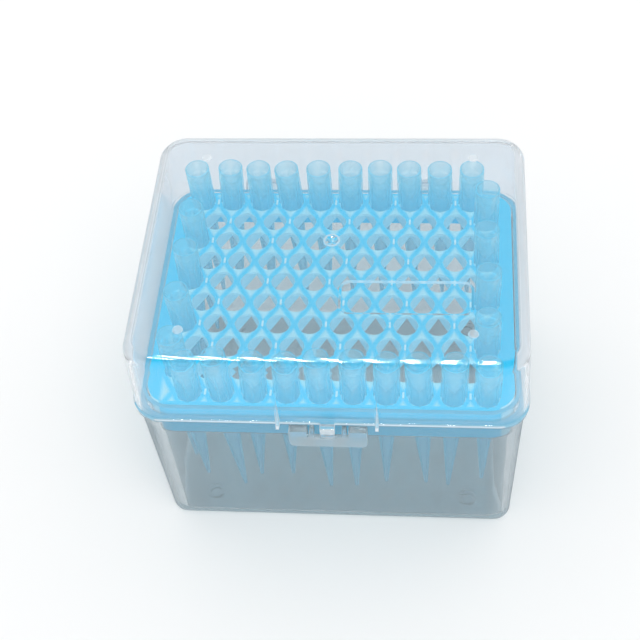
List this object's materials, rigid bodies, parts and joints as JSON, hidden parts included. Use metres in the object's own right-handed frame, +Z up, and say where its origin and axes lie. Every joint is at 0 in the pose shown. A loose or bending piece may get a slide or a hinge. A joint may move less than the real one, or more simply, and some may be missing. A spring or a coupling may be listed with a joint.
{
  "type": "box of pipette tips",
  "caption": "Translucent hinged box with a latch, holding blue pipette tips upright round the edge of a blue perforated rack.",
  "frame": {"origin": "centre of the underside of the base", "axes": "+Z up, +Y towards the hinge at the back, -Y towards the latch, +X to the right seen from the latch side"},
  "size_m": [0.1328, 0.1145, 0.1005],
  "materials": {
    "clear_shell": "natural translucent polypropylene, lightly frosted",
    "blue_rack": "blue translucent polypropylene",
    "blue_tip": "pale blue translucent polypropylene"
  },
  "bodies": {
    "base": {"base": "clear_shell", "tip_rack": "blue_rack", "tip_back_01": "blue_tip", "tip_back_02": "blue_tip", "tip_back_03": "blue_tip", "tip_back_04": "blue_tip", "tip_back_05": "blue_tip", "tip_back_06": "blue_tip", "tip_back_07": "blue_tip", "tip_back_08": "blue_tip", "tip_back_09": "blue_tip", "tip_back_10": "blue_tip", "tip_front_01": "blue_tip", "tip_front_02": "blue_tip", "tip_front_03": "blue_tip", "tip_front_04": "blue_tip", "tip_front_05": "blue_tip", "tip_front_06": "blue_tip", "tip_front_07": "blue_tip", "tip_front_08": "blue_tip", "tip_front_09": "blue_tip", "tip_front_10": "blue_tip", "tip_left_01": "blue_tip", "tip_left_02": "blue_tip", "tip_left_03": "blue_tip", "tip_left_04": "blue_tip", "tip_right_01": "blue_tip", "tip_right_02": "blue_tip", "tip_right_03": "blue_tip", "tip_right_04": "blue_tip"},
    "lid": {"lid": "clear_shell"}
  },
  "joints": [
    {"name": "lid_hinge", "type": "hinge", "parent": "base", "child": "lid", "pos_m": [0, 0.05597, 0.06745], "axis": [-1, 0, 0], "range_deg": [0, 110]}
  ]
}
